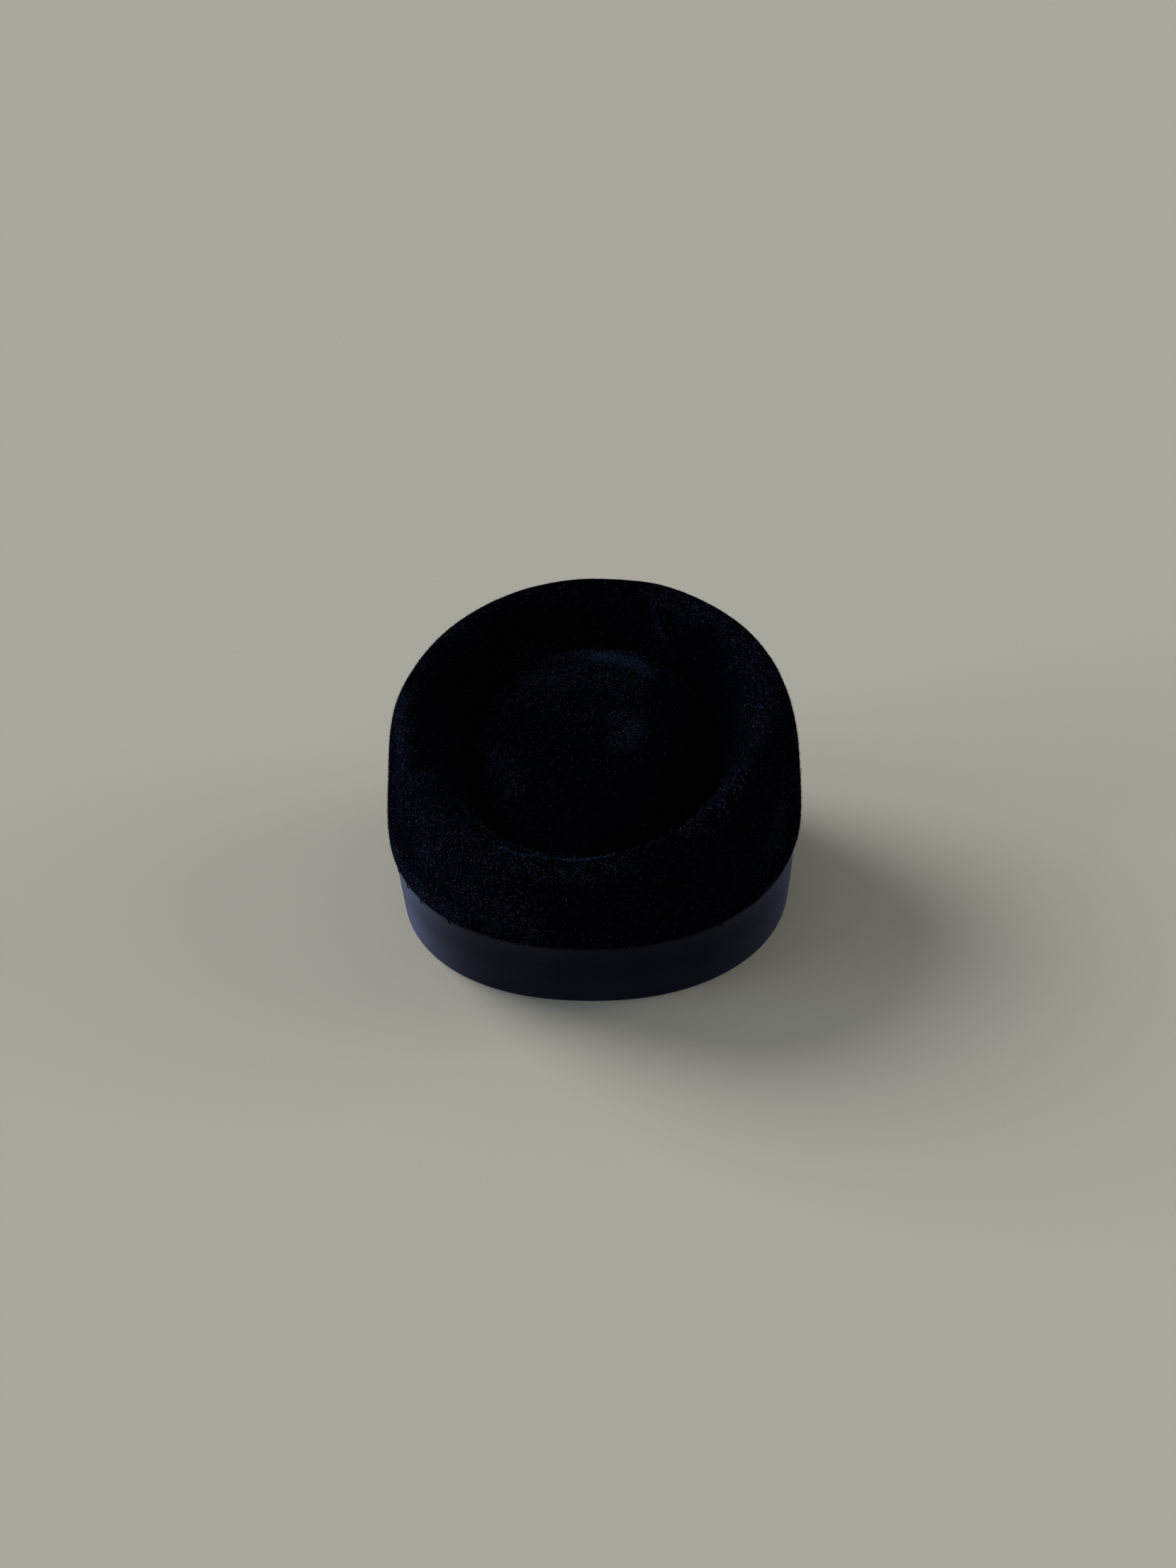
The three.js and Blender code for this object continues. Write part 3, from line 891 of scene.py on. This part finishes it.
# %% Tack stitches
THREAD = 0.46 * MM
TACK_HEIGHT = 2.3 * MM
TACK_STANDS_OUT = 0.36 * MM
TACK_BELOW_EDGE = 0.35 * TACK_HEIGHT
TACK_SLANT = math.radians(35)
LOOP_STEPS = 6
THREAD_SIDES = 6
THREAD_BLACK = (0.002, 0.002, 0.0025, 1)
THREAD_ROUGHNESS = 0.6
WELL_OUTSIDE = 200 * MM
SEEN_TACKS = ((568, 1243), (587, 1266), (605, 1284), (640, 1303), (1022, 1298))
HIDDEN_TACK_BEARINGS = range(20, 180, 32)


def tack_tree():
    """A tree of Geometry Nodes that puts a loop of thread on each point."""
    tree = new_tree("tack stitches", {
        "mesh": ["Places"],
        "number": ["Thread", "Height", "Stands out", "Slant"],
        "count": ["Seed"],
        "material": ["Material"],
    }, "Stitches")
    graph = Graph(tree)
    given = graph.given()
    foot = graph.node("ShaderNodeCombineXYZ", {}, {"X": given["Height"] * -0.5, "Z": 0.0})
    top = graph.node("ShaderNodeCombineXYZ", {}, {"X": given["Height"] * 0.5, "Z": 0.0})
    bow = graph.node("ShaderNodeCombineXYZ", {}, {"X": 0.0, "Z": given["Stands out"] * 2.0})
    loop = graph.node("GeometryNodeCurveQuadraticBezier", {}, {
        "Resolution": LOOP_STEPS, "Start": foot, "Middle": bow, "End": top})
    section = graph.node("GeometryNodeCurvePrimitiveCircle", {}, {
        "Resolution": THREAD_SIDES, "Radius": given["Thread"] * 0.5})
    thread = graph.node("GeometryNodeCurveToMesh", {}, {
        "Curve": loop, "Profile Curve": section, "Fill Caps": True})
    out_of_hat = stored(graph, "way", "FLOAT_VECTOR")
    facing = graph.node("FunctionNodeAlignRotationToVector", {"axis": "Z"}, {"Vector": out_of_hat})
    raised = graph.node("FunctionNodeAlignRotationToVector", {"axis": "X", "pivot_axis": "Z"}, {
        "Rotation": facing, "Vector": (0, 0, 1)})
    turned = turned_by(graph, raised, drawn(graph, given["Slant"] * -1.0, given["Slant"], given["Seed"]))
    finish_tree(graph, "Stitches", given["Places"], thread, given["Material"], {"Rotation": turned})
    return tree


def edge_point(bearing):
    """The outermost point of the strip near its top edge, at a bearing from the right side by the back."""
    way = Vector((math.cos(bearing), math.sin(bearing), 0))
    start = way * WELL_OUTSIDE + Vector((0, 0, BAND_TOP - TACK_BELOW_EDGE))
    hit = coarse_strip.ray_cast(start, -way)
    return hit[0], Vector((hit[1].x, hit[1].y, 0)).normalized()


def tack_places():
    """A mesh with a point for each tack, which carries the way out of the hat."""
    seen = [felt_at(pixel) or picture_point(coarse_strip, pixel) for pixel in SEEN_TACKS]
    bearings = [math.atan2(point.y, point.x) for point in seen]
    bearings += [math.radians(bearing) for bearing in HIDDEN_TACK_BEARINGS]
    spots = [edge_point(bearing) for bearing in bearings]
    mesh = bpy.data.meshes.new("tack places")
    mesh.from_pydata([spot for spot, way in spots], [], [])
    layer = mesh.attributes.new("way", "FLOAT_VECTOR", "POINT")
    layer.data.foreach_set("vector", np.array([way for spot, way in spots], np.float32).ravel())
    return mesh


black_thread = plain_material("black thread", THREAD_BLACK, THREAD_ROUGHNESS)
tacks = run_tree("tack_stitches", tack_places(), tack_tree(), {
    "Thread": THREAD, "Height": TACK_HEIGHT, "Stands out": TACK_STANDS_OUT, "Slant": TACK_SLANT,
    "Seed": 3, "Material": black_thread})
print("tacks:", len(tacks.data.polygons), "faces")

# %% [markdown]
# Every piece is tied to the solid model. The felt stands for the solid crown and the leather for the solid
# strip, and the hairs and stitches ride with them. Nothing on a felt hat moves by itself, so they all ride on
# the one body.

# %% Tie the pieces to the solids
slots = [(felt, "felt"), (strip, "leather"), (tacks, "leather")] + [(sort, "felt") for sort in sorts]
for piece, slot in slots:
    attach(piece, "root")
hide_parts("crown")
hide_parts("band")
visual_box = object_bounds()
for label, box in (("solids", cad_box), ("hat", visual_box)):
    print(label, [round(x / MM, 2) for x in box[0]], [round(x / MM, 2) for x in box[1]])
